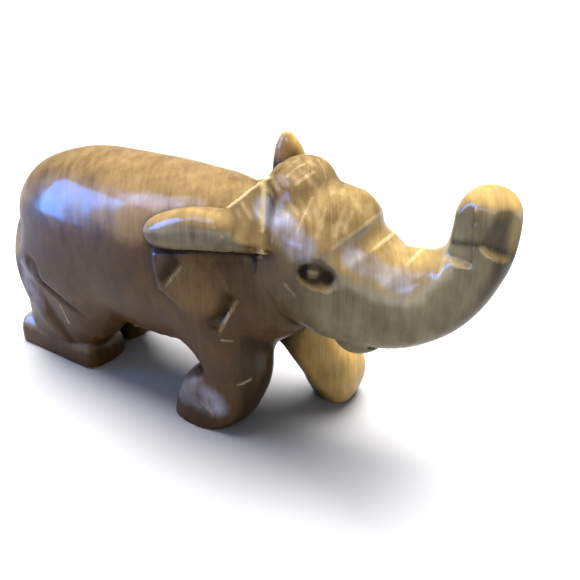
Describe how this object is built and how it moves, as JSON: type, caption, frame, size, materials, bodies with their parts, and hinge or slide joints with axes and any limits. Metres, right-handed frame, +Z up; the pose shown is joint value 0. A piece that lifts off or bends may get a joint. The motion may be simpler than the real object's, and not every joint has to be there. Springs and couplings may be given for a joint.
{
  "type": "carved elephant figurine",
  "caption": "Walking elephant carved from a solid piece of wood, trunk raised and curled, rear ear edge rolled over a hanging flap, tail lying on the thigh, waxed brown finish",
  "frame": {"origin": "middle of the bounding box's base, on the surface that the soles stand on", "axes": "+Z up, +X the way the elephant walks, towards its trunk, +Y towards its left side"},
  "size_m": [0.206, 0.0632, 0.104],
  "materials": {
    "carved_wood": "waxed hardwood, golden tan on the upper sides and taupe brown on the flanks, glossy, with pale worn edges"
  },
  "bodies": {
    "root": {"elephant": "carved_wood"}
  },
  "joints": []
}
